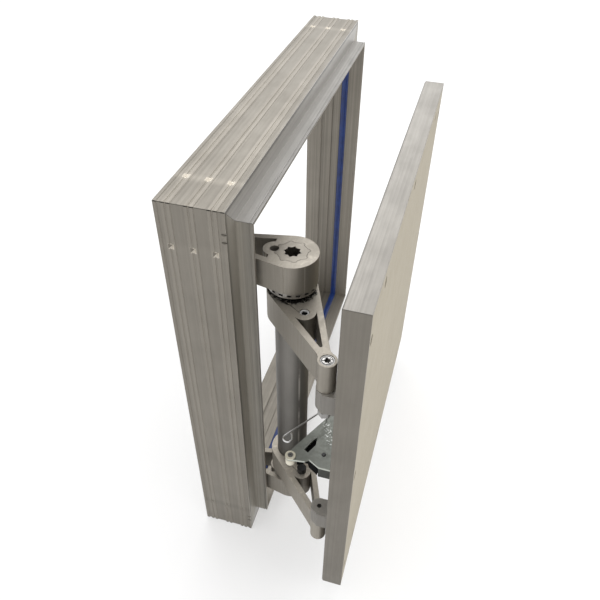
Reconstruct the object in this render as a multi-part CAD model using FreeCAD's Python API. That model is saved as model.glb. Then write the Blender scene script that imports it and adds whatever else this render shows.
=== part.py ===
import FreeCAD, Part
import math
import os

# Access panel: an aluminium sleeve frame with a boarded door on two pairs of links.
# Lengths are millimetres. +X leads from the back of the frame out through the door,
# +Y from the hinge side to the far side, +Z up. The origin is half way along the
# sleeve's bottom face, on the front rib of its middle pair.

# Frame
frame_width = 400.0
frame_height = 400.0
sleeve_depth = 50.6
neck_reach = 12.6
neck_inset = 16.8
neck_wall = 2.5
profile_wall = 1.8
mitre_gap = 0.25
same_place = 1e-6

# Rib pairs that run along the outside of each frame profile
rib_pair_first = 8.7
rib_pair_pitch = 16.6
rib_pair_count = 3
rib_spacing = 4.2
rib_width = 2.4
rib_height = 0.5
rib_slope = 0.3
edge_land = 2.4

# Grooves in the inside face of each frame profile, measured from the back
service_groove_from_back = 17.8
service_groove_width = 3.8
service_groove_depth = 0.8
mark_groove_from_back = 30.6
mark_groove_width = 2.3
mark_groove_depth = 0.6
lip_groove_from_front = 1.6
lip_groove_width = 0.8
lip_groove_depth = 0.35

# Seal
seal_from_back = 40.3
seal_width = 7.4
seal_groove_depth = 1.7
seal_proud = 1.9
seal_clearance = 0.05
seal_steps = 3
seal_brow_share = 0.25

# Corner cleats and the dents that lock them
cleat_leg = 50.0
cleat_clearance = 0.15
crimp_from_corner = 35.8
crimp_length = 4.4
crimp_width = 4.4
crimp_depth = 1.9

# Pairs of notches in the front edge of the upright profiles, near each corner
notch_first = 17.3
notch_second = 23.8
notch_length = 3.4
notch_width = 3.6
notch_depth = 1.0
notch_lean = 0.6

# Linkage, seen along -Z
link_length = 78.8
link_pivot_from_back = 5.7
link_pivot_from_wall = 20.1
arm_length = 80.93
arm_rest_angle = -56.1
head_radius = 20.0
lever_taper = 12.0
lever_leg_width = 4.9
lever_corner = 1.2
neck_fillet = 9.0
neck_fillet_share = 1.5
edge_search = 0.01
tip_search = 0.1
head_groove_angles = (87.6, 133.3)
head_groove_width = 1.6
head_groove_depth = 0.35
link_eye_radius = 5.6
arm_eye_radius = 7.0

# Heights in the linkage, measured from its own middle a little below the frame's
linkage_drop = 0.5
arm_inner_height = 89.0
arm_thickness = 27.0
bearing_height = 8.6
link_thickness = 24.6
face_gap = 0.3

# Shaft, index insert, lock screw and torsion bar
tube_radius = 14.1
tube_bore_radius = 11.0
tube_seat_depth = 1.5
tube_seat_clearance = 0.3
hub_radius = 9.0
hub_depth_in_arm = 15.0
running_clearance = 0.05
insert_radius = 11.6
insert_lobe_reach = 13.3
insert_lobe_radius = 2.1
insert_lobes = 8
insert_lobe_steps = 2
insert_clearance = 0.22
star_side = 9.5
torsion_bar_side = 9.2
torsion_bar_recess = 16.0
lock_offset = 14.0
lock_boss_radius = 8.5
lock_hole_radius = 3.5
lock_screw_radius = 3.3
lock_screw_length = 9.0
lock_screw_recess = 7.0
link_window_from_shaft = 15.6
clamp_offset = 30.3
clamp_boss_radius = 8.7
clamp_hole_radius = 3.75
clamp_screw_radius = 3.5
clamp_screw_recess = 1.0
clamp_foot_radius = 4.3
clamp_foot_height = 6.0
clamp_key_across = 4.6
clamp_key_depth = 4.0
clamp_slit_start = 15.0
clamp_slit_start_side = -9.9
clamp_slit_end_side = -3.6
clamp_slit_width = 0.6
clamp_slit_depth = 1.0
arm_window_from_shaft = 33.6

# Thrust bearing between link head and arm
race_outer_radius = 16.4
race_thickness = 3.7
cage_outer_radius = 19.2
cage_pockets = 18
cage_pocket_width = 3.3
cage_pocket_height = 1.8
cage_pocket_depth = 6.0
cage_gap = 0.15

# Frame hinge brackets and their pins
bracket_ear = 5.0
bracket_plate = 3.0
bracket_reach = 39.0
bracket_back_inset = 1.0
bracket_web_inset = 6.0
bracket_web_edge = 0.2
pin_radius = 3.0
pin_head_radius = 4.6
pin_head_height = 2.2
bracket_screw_first = 18.0
bracket_screw_pitch = 15.0
bracket_screw_radius = 2.0
bracket_screw_clearance = 0.1
bracket_screw_head_across = 7.0
bracket_screw_head_height = 2.0
small_screw_sides = 8
hex_sides = 6
square_sides = 4

# Door
door_width = 355.0
door_height = 355.0
door_thickness = 18.75
door_edge_wall = 2.0
door_chamber_wall = 1.3
door_rail_width = 26.0
door_edge_round = 1.0
board_thickness = 12.4
board_gap = 0.3
door_cleat_leg = 46.0
hinge_rail_width = 62.0
pivot_behind_door = 9.9
pivot_from_door_edge = 15.2
board_screw_side_inset = 8.4
board_screw_side_end = 28.0
board_screw_level_inset = 13.9
board_screw_level_end = 49.6
board_screws_per_side = 3
board_screw_head_radius = 4.0
board_screw_sink = 0.8
board_screw_head_height = 2.4
board_screw_radius = 1.8
board_socket_across = 3.0
board_socket_depth = 1.2

# Door brackets and pivot screws
door_bracket_height = 19.0
door_bracket_radius = 7.3
door_bracket_near = 9.0
door_bracket_far = 7.6
door_bracket_chamfer = 2.0
door_bracket_shoulder = 1.0
pivot_screw_radius = 3.0
pivot_head_radius = 5.0
pivot_head_height = 5.0
pivot_head_recess = 0.4
pivot_head_clearance = 0.45
hex_key_across = 4.0
hex_key_depth = 2.8
bush_radius = 4.7
bush_height = 6.0
nut_across = 9.0
nut_height = 5.0
nut_turn = 20.0
bush_gap = 0.1
screw_tail = 2.0
lower_tip_hole_radius = 2.0
lower_screw_cover = 7.0

# Guide plate with its roller
plate_top_below_middle = 20.0
plate_thickness = 2.0
plate_nose_radius = 3.9
plate_nose_tilt = 26.0
roller_behind_door = 39.2
roller_from_pivot = 9.2
roller_radius = 4.15
roller_height = 5.9
roller_bore_clearance = 0.08
roller_pin_radius = 2.0
roller_pin_head = 0.6
roller_pin_head_radius = 2.3
roller_pin_foot_radius = 3.2
roller_pin_dimple_radius = 0.8
roller_pin_dimple_depth = 1.5
roller_washer_radius = 4.45
roller_washer_thickness = 1.2
plate_low_edge = 5.0
plate_far_edge = 65.0
plate_side_behind_door = 13.8
plate_notch_behind_door = 23.1
plate_notch_rise = 5.2
plate_shoulder_behind_door = 26.1
plate_shoulder_rise = 2.4
plate_heel_behind_door = 20.8
plate_heel_from_pivot = 54.5
plate_tail_behind_door = 18.6
plate_tail_from_pivot = 60.0
plate_flange_drop = 13.5
plate_foot_drop = 21.6
slot_mouth_behind_door = 29.6
slot_mouth_from_pivot = 18.6
slot_corner_behind_door = 26.0
slot_corner_from_pivot = 16.5
slot_bend_behind_door = 21.6
slot_bend_from_pivot = 25.4
slot_tip_behind_door = 22.0
slot_tip_from_pivot = 33.9
slot_shoulder_behind_door = 24.9
slot_shoulder_from_pivot = 30.0

# Black block under the guide plate
block_height = 11.6
block_roller_gap = 0.9
block_front_inset = 1.0
block_side_rise = 5.0
block_hollow_behind_door = 27.6
block_hollow_from_pivot = 14.6
block_hollow_width = 2.2
block_flange_gap = 1.0
block_back_behind_door = 8.0
block_back_from_pivot = 24.0
block_far_behind_door = 16.0
block_far_from_pivot = 38.0
block_past_slot = 2.4

# Rivet that holds the block under the plate
rivet_across = 3.0
rivet_sides = 8
rivet_from_pivot = 18.3
rivet_behind_door = 12.4
rivet_head_height = 0.8
rivet_head_radius = 2.0

# Spring wire over the guide plate
wire_radius = 0.7
wire_sides = 6
wire_hole_clearance = 0.15
wire_above_plate = 17.0
wire_loop_radius = 3.6
wire_loop_turn = 235.0
wire_clear_share = 2.2
wire_bend_radius = 2.5
wire_end_behind_door = 19.5
wire_end_from_pivot = 54.6
wire_loop_behind_door = 43.0
wire_loop_from_pivot = 13.8

# Places worked out from the sizes above
back_x = -(rib_pair_first + rib_pair_pitch + rib_spacing / 2)
step_x = back_x + sleeve_depth
near_y = -frame_width / 2
mid_z = frame_height / 2
linkage_z = mid_z - linkage_drop
inner_inset = neck_inset + neck_wall
pivot_x = back_x + link_pivot_from_back
pivot_y = near_y + inner_inset + link_pivot_from_wall
shaft_x = pivot_x + link_length
shaft_y = pivot_y
arm_heading = math.radians(arm_rest_angle)
door_pivot_x = shaft_x + arm_length * math.cos(arm_heading)
door_pivot_y = shaft_y + arm_length * math.sin(arm_heading)
door_back_x = door_pivot_x + pivot_behind_door
door_front_x = door_back_x + door_thickness
door_near_y = door_pivot_y - pivot_from_door_edge
door_low_z = mid_z - door_height / 2
arm_outer_height = arm_inner_height + arm_thickness
link_inner_height = arm_outer_height + bearing_height
link_outer_height = link_inner_height + link_thickness
bracket_top_height = arm_inner_height - face_gap
bracket_low_height = bracket_top_height - door_bracket_height
plate_top_z = mid_z - plate_top_below_middle
roller_x = door_back_x - roller_behind_door
roller_y = door_pivot_y + roller_from_pivot

os.makedirs("parts", exist_ok=True)


def vec(x, y, z):
    return FreeCAD.Vector(x, y, z)


def cylinder(x, y, radius, low, high):
    return Part.makeCylinder(radius, high - low, vec(x, y, low))


def box(x0, x1, y0, y1, z0, z1):
    return Part.makeBox(x1 - x0, y1 - y0, z1 - z0, vec(x0, y0, z0))


def face_of(points):
    return Part.Face(Part.makePolygon(points + points[:1]))


def flat_prism(points, low, high):
    """A prism that stands on an outline given as X, Y pairs."""
    corners = [vec(x, y, low) for x, y in points]
    return face_of(corners).extrude(vec(0, 0, high - low))


def regular_prism(x, y, across, sides, low, high, turn=0.0):
    reach = across / 2 / math.cos(math.pi / sides)
    points = []
    for index in range(sides):
        angle = math.radians(turn) + 2 * math.pi * index / sides
        points.append((x + reach * math.cos(angle), y + reach * math.sin(angle)))
    return flat_prism(points, low, high)


def pointed_prism(start, along, across, sides, length):
    """A regular prism that starts at a point and runs along a direction."""
    prism = regular_prism(0, 0, across, sides, 0, length)
    prism.Placement = FreeCAD.Placement(start, FreeCAD.Rotation(vec(0, 0, 1), along))
    return prism


def vertical_edges(shape, x, y, reach):
    """The upright edges of a shape that stand within reach of a point."""
    found = []
    for edge in shape.Edges:
        ends = [vertex.Point for vertex in edge.Vertexes]
        if len(ends) != 2:
            continue
        upright = abs(ends[0].x - ends[1].x) < same_place and abs(ends[0].y - ends[1].y) < same_place
        if upright and math.hypot(ends[0].x - x, ends[0].y - y) < reach:
            found.append(edge)
    return found


def mirrored(shape):
    """The same piece on the other side of the linkage's middle height."""
    return shape.mirror(vec(0, 0, linkage_z), vec(0, 0, 1))


def save(shape, name):
    shape.exportStep("parts/" + name + ".step")


def mitred_bar(outline, length, gap):
    """A profile along +Z with 45 degree ends. The outline holds depth, inset pairs."""
    corners = [vec(depth, inset, 0) for depth, inset in outline]
    bar = face_of(corners).extrude(vec(0, 0, length))
    depths = [depth for depth, inset in outline]
    insets = [inset for depth, inset in outline]
    low = min(insets)
    high = max(insets)
    ends = [
        vec(min(depths), low, low + gap / 2),
        vec(min(depths), high, high + gap / 2),
        vec(min(depths), high, length - high - gap / 2),
        vec(min(depths), low, length - low - gap / 2),
    ]
    return bar.common(face_of(ends).extrude(vec(max(depths) - min(depths), 0, 0)))


def four_sides(upright, level, width, height):
    """Set one upright and one level bar on each side of a width by height opening."""
    near = upright.translated(vec(0, -width / 2, 0))
    far = near.mirror(vec(0, 0, 0), vec(0, 1, 0))
    bottom = level.rotated(vec(0, 0, 0), vec(1, 0, 0), 90)
    bottom = bottom.translated(vec(0, width / 2, 0))
    top = bottom.mirror(vec(0, 0, height / 2), vec(0, 0, 1))
    return {"near": near, "far": far, "bottom": bottom, "top": top}


def frame_outline():
    points = [(0.0, 0.0), (edge_land, 0.0), (edge_land + rib_slope, rib_height)]
    for pair in range(rib_pair_count):
        for side in (-1, 1):
            middle = rib_pair_first + pair * rib_pair_pitch + side * rib_spacing / 2
            points.append((middle - rib_width / 2 - rib_slope, rib_height))
            points.append((middle - rib_width / 2, 0.0))
            points.append((middle + rib_width / 2, 0.0))
            points.append((middle + rib_width / 2 + rib_slope, rib_height))
    points.append((sleeve_depth - edge_land - rib_slope, rib_height))
    points.append((sleeve_depth - edge_land, 0.0))
    points.append((sleeve_depth, 0.0))
    points.append((sleeve_depth, neck_inset))
    front = sleeve_depth + neck_reach
    groove_end = front - lip_groove_from_front
    groove_start = groove_end - lip_groove_width
    points.append((groove_start, neck_inset))
    points.append((groove_start, neck_inset + lip_groove_depth))
    points.append((groove_end, neck_inset + lip_groove_depth))
    points.append((groove_end, neck_inset))
    points.append((front, neck_inset))
    points.append((front, inner_inset))
    grooves = (
        (seal_from_back, seal_width, seal_groove_depth),
        (mark_groove_from_back, mark_groove_width, mark_groove_depth),
        (service_groove_from_back, service_groove_width, service_groove_depth),
    )
    for start, width, depth in grooves:
        points.append((start + width, inner_inset))
        points.append((start + width, inner_inset - depth))
        points.append((start, inner_inset - depth))
        points.append((start, inner_inset))
    points.append((0.0, inner_inset))
    return points


def frame_cavity(clearance=0.0):
    """The hollow of the frame profile, drawn in by a clearance for what fits in it."""
    low = profile_wall + clearance
    high = sleeve_depth - profile_wall - clearance
    outer = rib_height + profile_wall + clearance
    inner = inner_inset - profile_wall - clearance
    step = seal_from_back - profile_wall - clearance
    raised = inner - seal_groove_depth
    return [(low, outer), (high, outer), (high, raised), (step, raised), (step, inner), (low, inner)]


def crimp_dent(depth_place, height):
    """A four-sided punch mark in the outer face, as a corner press leaves it."""
    start = depth_place - crimp_width / 2
    end = depth_place + crimp_width / 2
    low = height - crimp_length / 2
    high = height + crimp_length / 2
    across = face_of([vec(start, 0, low), vec(end, 0, low), vec(depth_place, crimp_depth, low)])
    along = face_of([vec(start, 0, low), vec(start, 0, high), vec(start, crimp_depth, height)])
    return across.extrude(vec(0, 0, crimp_length)).common(along.extrude(vec(crimp_width, 0, 0)))


def edge_notch(height):
    """A lopsided nick in the sleeve's front edge."""
    start = sleeve_depth - notch_width
    low = height - notch_length / 2
    high = height + notch_length / 2
    mouth = [vec(start, 0, low), vec(start, 0, high), vec(start, notch_depth, low + notch_lean)]
    return face_of(mouth).extrude(vec(notch_width, 0, 0))


def frame_bar(length):
    bar = mitred_bar(frame_outline(), length, mitre_gap)
    hollow = face_of([vec(depth, inset, 0) for depth, inset in frame_cavity()])
    bar = bar.cut(hollow.extrude(vec(0, 0, length)))
    for pair in range(rib_pair_count):
        place = rib_pair_first + pair * rib_pair_pitch
        for height in (crimp_from_corner, length - crimp_from_corner):
            bar = bar.cut(crimp_dent(place, height))
    return bar


def make_frame():
    upright = frame_bar(frame_height)
    for height in (notch_first, notch_second):
        upright = upright.cut([edge_notch(height), edge_notch(frame_height - height)])
    upright = upright.translated(vec(back_x, 0, 0))
    level = frame_bar(frame_width).translated(vec(back_x, 0, 0))
    for side, bar in four_sides(upright, level, frame_width, frame_height).items():
        save(bar, "frame_profile_" + side)


def corner_cleats(outline, leg, width, height, x0, gap=0.0):
    """Two mitre-cut legs joined into an L, one in each corner of an opening."""
    corners = [vec(x0 + depth, inset, 0) for depth, inset in outline]
    bar = face_of(corners).extrude(vec(0, 0, leg))
    insets = [inset for depth, inset in outline]
    low = min(insets)
    high = max(insets)
    slope = [vec(x0 - 1, low, low), vec(x0 - 1, high, high), vec(x0 - 1, low, high)]
    reach = max(depth for depth, inset in outline) + 2
    trim = [vec(x0 - 1, low - 1, leg), vec(x0 - 1, high + 1, leg), vec(x0 - 1, high + 1, high)]
    trim.append(vec(x0 - 1, high, high))
    trim.append(vec(x0 - 1, low, low))
    trim.append(vec(x0 - 1, low - 1, low))
    upright = bar.common(face_of(trim).extrude(vec(reach, 0, 0)))
    level = upright.mirror(vec(0, 0, 0), vec(0, 1, -1))
    cleat = upright.fuse(level).removeSplitter()
    near_low = cleat.translated(vec(0, -width / 2, 0))
    far_low = near_low.mirror(vec(0, 0, 0), vec(0, 1, 0))
    middle = vec(0, 0, height / 2)
    near_high = near_low.mirror(middle, vec(0, 0, 1))
    far_high = far_low.mirror(middle, vec(0, 0, 1))
    return Part.Compound([near_low, far_low, near_high, far_high])


def make_frame_cleats():
    outline = frame_cavity(cleat_clearance)
    cleats = corner_cleats(outline, cleat_leg, frame_width, frame_height, back_x)
    save(cleats, "frame_corner_cleats")


def seal_outline():
    start = seal_from_back + seal_clearance
    end = seal_from_back + seal_width - seal_clearance
    base = inner_inset - seal_groove_depth + seal_clearance
    crown = inner_inset + seal_proud
    third = (end - start) / seal_steps
    brow = crown - seal_proud * seal_brow_share
    return [
        (start, base),
        (end, base),
        (end, inner_inset),
        (end - third / 2, brow),
        (end - third, crown),
        (start + third, crown),
        (start + third / 2, brow),
        (start, inner_inset),
    ]


def make_seal():
    upright = mitred_bar(seal_outline(), frame_height, 0.0).translated(vec(back_x, 0, 0))
    level = mitred_bar(seal_outline(), frame_width, 0.0).translated(vec(back_x, 0, 0))
    sides = list(four_sides(upright, level, frame_width, frame_height).values())
    save(sides[0].multiFuse(sides[1:]).removeSplitter(), "frame_seal")


def lever(length, eye_radius, boss_at, boss_radius, window_from, low, high):
    """A tapered lever along +X: round head at 0, eye at its length, open web between."""
    taper = math.radians(lever_taper)
    rise = head_radius * math.cos(taper)
    start = head_radius * math.sin(taper)
    tail = head_radius / math.cos(taper) - length * math.tan(taper)
    web = flat_prism([(start, -rise), (length, -tail), (length, tail), (start, rise)], low, high)
    body = cylinder(0, 0, head_radius, low, high)
    body = body.multiFuse([web, cylinder(length, 0, eye_radius, low, high)]).removeSplitter()
    crotch = vertical_edges(body, length, 0, eye_radius + edge_search)
    if crotch:
        body = body.makeFillet(min(neck_fillet, eye_radius * neck_fillet_share), crotch)
    inside = head_radius - lever_leg_width
    tip = inside / math.sin(taper)
    side = inside / math.cos(taper) - window_from * math.tan(taper)
    window = flat_prism([(window_from, -side), (tip, 0), (window_from, side)], low, high)
    corners = vertical_edges(window, tip, 0, tip_search)
    window = window.makeFillet(lever_corner, corners)
    boss = cylinder(boss_at, 0, boss_radius, low, high)
    return body.cut(window.cut(boss)).cut(head_grooves(low, high))


def head_grooves(low, high):
    """Shallow V grooves that the extrusion carries up both sides of the head."""
    grooves = []
    half = head_groove_width / 2
    for angle in head_groove_angles:
        for side in (-1, 1):
            outline = [
                (head_radius - head_groove_depth, 0),
                (head_radius + half, -half),
                (head_radius + half, half),
            ]
            grooves.append(placed(flat_prism(outline, low, high), 0, 0, side * angle))
    return grooves


def scalloped(clearance, low, high):
    """The eight-lobed outline that sets the spring's preload."""
    ring = insert_lobe_reach - insert_lobe_radius
    core = insert_radius + clearance
    lobe = insert_lobe_radius + clearance
    half = math.acos((core ** 2 + ring ** 2 - lobe ** 2) / (2 * core * ring))
    points = []
    for index in range(insert_lobes):
        middle = 2 * math.pi * (index + 0.5) / insert_lobes
        for step in range(-insert_lobe_steps, insert_lobe_steps + 1):
            turn = half * step / insert_lobe_steps
            reach = ring * math.cos(turn) + math.sqrt(lobe ** 2 - (ring * math.sin(turn)) ** 2)
            points.append((reach * math.cos(middle + turn), reach * math.sin(middle + turn)))
    return flat_prism(points, low, high)


def placed(shape, x, y, heading):
    return shape.rotated(vec(0, 0, 0), vec(0, 0, 1), heading).translated(vec(x, y, 0))


def link_body(low, high):
    link = lever(link_length, link_eye_radius, lock_offset, lock_boss_radius,
                 link_window_from_shaft, low, high)
    link = link.cut(scalloped(insert_clearance, low, high))
    link = link.cut(cylinder(lock_offset, 0, lock_hole_radius, low, high))
    return link.cut(cylinder(link_length, 0, pin_radius + running_clearance, low, high))


def index_insert(low, high):
    """Lobed head in the link, round hub down into the arm, star hole right through."""
    hub_low = low - bearing_height - hub_depth_in_arm
    insert = scalloped(0.0, low, high).fuse(cylinder(0, 0, hub_radius, hub_low, low))
    insert = insert.removeSplitter()
    for turn in (0.0, 180 / square_sides):
        insert = insert.cut(regular_prism(0, 0, star_side, square_sides, hub_low, high, turn))
    return insert.cut(cylinder(lock_offset, 0, lock_hole_radius, low, high))


def lock_screw(top):
    screw = cylinder(lock_offset, 0, lock_screw_radius, top - lock_screw_length, top)
    socket = regular_prism(lock_offset, 0, hex_key_across, hex_sides, top - hex_key_depth, top)
    return screw.cut(socket)


def make_links():
    low = linkage_z + link_inner_height
    high = linkage_z + link_outer_height
    link = placed(link_body(low, high), shaft_x, shaft_y, 180)
    insert = placed(index_insert(low, high), shaft_x, shaft_y, 180)
    screw = placed(lock_screw(high - lock_screw_recess), shaft_x, shaft_y, 180)
    save(link, "frame_link_upper")
    save(mirrored(link), "frame_link_lower")
    save(insert, "index_insert_upper")
    save(mirrored(insert), "index_insert_lower")
    save(Part.Compound([screw, mirrored(screw)]), "insert_lock_screws")


def make_torsion_bar():
    low = linkage_z - link_outer_height + torsion_bar_recess
    high = linkage_z + link_outer_height - torsion_bar_recess
    bar = regular_prism(shaft_x, shaft_y, torsion_bar_side, square_sides, low, high, 180 / square_sides)
    save(bar, "torsion_bar")


def arm_body(low, high):
    arm = lever(arm_length, arm_eye_radius, clamp_offset, clamp_boss_radius,
                arm_window_from_shaft, low, high)
    arm = arm.cut(cylinder(0, 0, hub_radius + running_clearance, low, high))
    arm = arm.cut(cylinder(0, 0, tube_radius + tube_seat_clearance, low, low + tube_seat_depth))
    arm = arm.cut(cylinder(clamp_offset, 0, clamp_hole_radius, low, high))
    arm = arm.cut(clamp_slits(low, high))
    arm = arm.cut(cylinder(arm_length, 0, pivot_screw_radius + running_clearance, low, high))
    recess = pivot_head_height + pivot_head_recess
    counterbore = cylinder(arm_length, 0, pivot_head_radius + pivot_head_clearance / 2, high - recess, high)
    return arm.cut(counterbore)


def clamp_slits(low, high):
    """Saw marks in both faces, from beside the shaft to the clamp screw's hole."""
    half = clamp_slit_width / 2
    outline = [
        (clamp_slit_start, clamp_slit_start_side - half),
        (clamp_offset, clamp_slit_end_side - half),
        (clamp_offset, clamp_slit_end_side + half),
        (clamp_slit_start, clamp_slit_start_side + half),
    ]
    return [
        flat_prism(outline, low, low + clamp_slit_depth),
        flat_prism(outline, high - clamp_slit_depth, high),
    ]


def clamp_screw(low, high):
    """Long screw through the arm with its socket outside and its round foot inside."""
    top = high - clamp_screw_recess
    screw = cylinder(clamp_offset, 0, clamp_screw_radius, low, top)
    screw = screw.fuse(cylinder(clamp_offset, 0, clamp_foot_radius, low - clamp_foot_height, low))
    socket = regular_prism(clamp_offset, 0, clamp_key_across, hex_sides, top - clamp_key_depth, top)
    return screw.removeSplitter().cut(socket)


def make_arms():
    low = linkage_z + arm_inner_height
    high = linkage_z + arm_outer_height
    arm = placed(arm_body(low, high), shaft_x, shaft_y, arm_rest_angle)
    screw = placed(clamp_screw(low, high), shaft_x, shaft_y, arm_rest_angle)
    save(arm, "door_arm_upper")
    save(mirrored(arm), "door_arm_lower")
    save(Part.Compound([screw, mirrored(screw)]), "arm_clamp_screws")


def make_tube():
    low = linkage_z - arm_inner_height - tube_seat_depth
    high = linkage_z + arm_inner_height + tube_seat_depth
    tube = cylinder(shaft_x, shaft_y, tube_radius, low, high)
    save(tube.cut(cylinder(shaft_x, shaft_y, tube_bore_radius, low, high)), "shaft_tube")


def bearing_race(low):
    race = cylinder(shaft_x, shaft_y, race_outer_radius, low, low + race_thickness)
    return race.cut(cylinder(shaft_x, shaft_y, hub_radius + face_gap, low, low + race_thickness))


def bearing_cage(low, high):
    sides = 2 * cage_pockets
    cage = regular_prism(shaft_x, shaft_y, 2 * cage_outer_radius, sides, low, high, 180 / sides)
    cage = cage.cut(cylinder(shaft_x, shaft_y, hub_radius + face_gap, low, high))
    middle = (low + high) / 2
    pocket = box(cage_outer_radius - cage_pocket_depth, cage_outer_radius + 1,
                 -cage_pocket_width / 2, cage_pocket_width / 2,
                 middle - cage_pocket_height / 2, middle + cage_pocket_height / 2)
    pockets = [placed(pocket, shaft_x, shaft_y, 360 * index / cage_pockets)
               for index in range(cage_pockets)]
    return cage.cut(pockets)


def make_bearings():
    low = linkage_z + arm_outer_height
    race = bearing_race(low)
    cage = bearing_cage(low + race_thickness, low + bearing_height - cage_gap)
    save(Part.Compound([race, mirrored(race)]), "thrust_races")
    save(cage, "thrust_cage_upper")
    save(mirrored(cage), "thrust_cage_lower")


def frame_bracket():
    """A channel with an ear above and below the link's eye, screwed to the inner wall."""
    low = linkage_z + link_inner_height - face_gap - bracket_ear
    high = linkage_z + link_outer_height + face_gap + bracket_ear
    wall_y = near_y + inner_inset
    plate = box(back_x + bracket_back_inset, back_x + bracket_reach, wall_y,
                wall_y + bracket_plate, low, high)
    pieces = []
    for ear_low in (low, high - bracket_ear):
        ear_high = ear_low + bracket_ear
        pieces.append(cylinder(pivot_x, pivot_y, link_eye_radius, ear_low, ear_high))
        side = link_eye_radius - bracket_web_edge
        web = [
            (pivot_x - side, wall_y),
            (back_x + bracket_reach - bracket_web_inset, wall_y),
            (pivot_x + side, pivot_y),
            (pivot_x - side, pivot_y),
        ]
        pieces.append(flat_prism(web, ear_low, ear_high))
    bracket = plate.multiFuse(pieces).removeSplitter()
    bracket = bracket.cut(cylinder(pivot_x, pivot_y, pin_radius + running_clearance, low, high))
    for index in range(2):
        place = back_x + bracket_screw_first + index * bracket_screw_pitch
        across = 2 * (bracket_screw_radius + bracket_screw_clearance)
        hole = pointed_prism(vec(place, wall_y, (low + high) / 2), vec(0, 1, 0), across,
                             small_screw_sides, bracket_plate)
        bracket = bracket.cut(hole)
    return bracket


def bracket_screw(place):
    wall_y = near_y + inner_inset
    height = linkage_z + (link_inner_height + link_outer_height) / 2
    inward = vec(0, 1, 0)
    shank = pointed_prism(vec(place, wall_y, height), inward, 2 * bracket_screw_radius,
                          small_screw_sides, bracket_plate)
    head = pointed_prism(vec(place, wall_y + bracket_plate, height), inward,
                         bracket_screw_head_across, hex_sides, bracket_screw_head_height)
    return shank.fuse(head).removeSplitter()


def link_pin():
    low = linkage_z + link_inner_height - face_gap - bracket_ear
    high = linkage_z + link_outer_height + face_gap + bracket_ear
    pin = cylinder(pivot_x, pivot_y, pin_radius, low, high)
    head = cylinder(pivot_x, pivot_y, pin_head_radius, high, high + pin_head_height)
    return pin.fuse(head).removeSplitter()


def make_frame_brackets():
    bracket = frame_bracket()
    screws = []
    for index in range(2):
        screw = bracket_screw(back_x + bracket_screw_first + index * bracket_screw_pitch)
        screws.extend([screw, mirrored(screw)])
    pin = link_pin()
    save(bracket, "frame_bracket_upper")
    save(mirrored(bracket), "frame_bracket_lower")
    save(Part.Compound(screws), "frame_bracket_screws")
    save(Part.Compound([pin, mirrored(pin)]), "link_pins")


def door_outline():
    """Edge profile of the door: outer wall with a flat chamber behind the board."""
    ledge = door_thickness - board_thickness
    return [
        (0.0, door_edge_round),
        (door_edge_round, 0.0),
        (door_thickness, 0.0),
        (door_thickness, door_edge_wall),
        (ledge, door_edge_wall),
        (ledge, door_rail_width),
        (0.0, door_rail_width),
    ]


def door_cavity(clearance=0.0):
    low = door_chamber_wall + clearance
    high = door_thickness - board_thickness - door_chamber_wall - clearance
    outer = door_edge_wall + clearance
    inner = door_rail_width - door_chamber_wall - clearance
    return [(low, outer), (high, outer), (high, inner), (low, inner)]


def door_bar(length):
    bar = mitred_bar(door_outline(), length, mitre_gap)
    hollow = face_of([vec(depth, inset, 0) for depth, inset in door_cavity()])
    return bar.cut(hollow.extrude(vec(0, 0, length)))


def door_place(shape):
    return shape.translated(vec(0, door_near_y + door_width / 2, door_low_z))


def make_door_frame():
    upright = door_bar(door_height).translated(vec(door_back_x, 0, 0))
    level = door_bar(door_width).translated(vec(door_back_x, 0, 0))
    shanks = [board_screw(y, z)[1] for y, z in board_screw_places()]
    for side, bar in four_sides(upright, level, door_width, door_height).items():
        save(door_place(bar).cut(shanks), "door_profile_" + side)
    outline = door_cavity(cleat_clearance)
    cleats = corner_cleats(outline, door_cleat_leg, door_width, door_height, door_back_x)
    save(door_place(cleats), "door_corner_cleats")


def make_hinge_rail():
    """Flat hollow rail behind the board that carries the guide plate."""
    low = door_low_z + door_rail_width + board_gap
    high = door_low_z + door_height - door_rail_width - board_gap
    start = door_near_y + door_rail_width + board_gap
    end = start + hinge_rail_width
    front = door_front_x - board_thickness
    rail = box(door_back_x, front, start, end, low, high)
    wall = door_chamber_wall
    hollow = box(door_back_x + wall, front - wall, start + wall, end - wall, low, high)
    save(rail.cut(hollow), "door_hinge_rail")


def board_screw_places():
    """Y, Z places of the board screws, an even row beside each edge."""
    places = []
    middle_y = door_near_y + door_width / 2
    spans = board_screws_per_side - 1
    side_run = door_height / 2 - board_screw_side_end
    side_inset = door_width / 2 - board_screw_side_inset
    level_run = door_width / 2 - board_screw_level_end
    level_inset = door_height / 2 - board_screw_level_inset
    for side in (-1, 1):
        for index in range(board_screws_per_side):
            share = 2 * index / spans - 1
            places.append((middle_y + side * side_inset, mid_z + share * side_run))
            places.append((middle_y + share * level_run, mid_z + side * level_inset))
    return places


def board_screw(y, z):
    """Head and shank of a board screw, sunk a little below the board's face."""
    head_x = door_front_x - board_screw_sink
    neck_x = head_x - board_screw_head_height
    reach = neck_x - (door_front_x - board_thickness - door_chamber_wall)
    head = pointed_prism(vec(neck_x, y, z), vec(1, 0, 0), 2 * board_screw_head_radius,
                         small_screw_sides, board_screw_head_height)
    shank = pointed_prism(vec(neck_x - reach, y, z), vec(1, 0, 0), 2 * board_screw_radius,
                          small_screw_sides, reach)
    return head, shank


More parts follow.
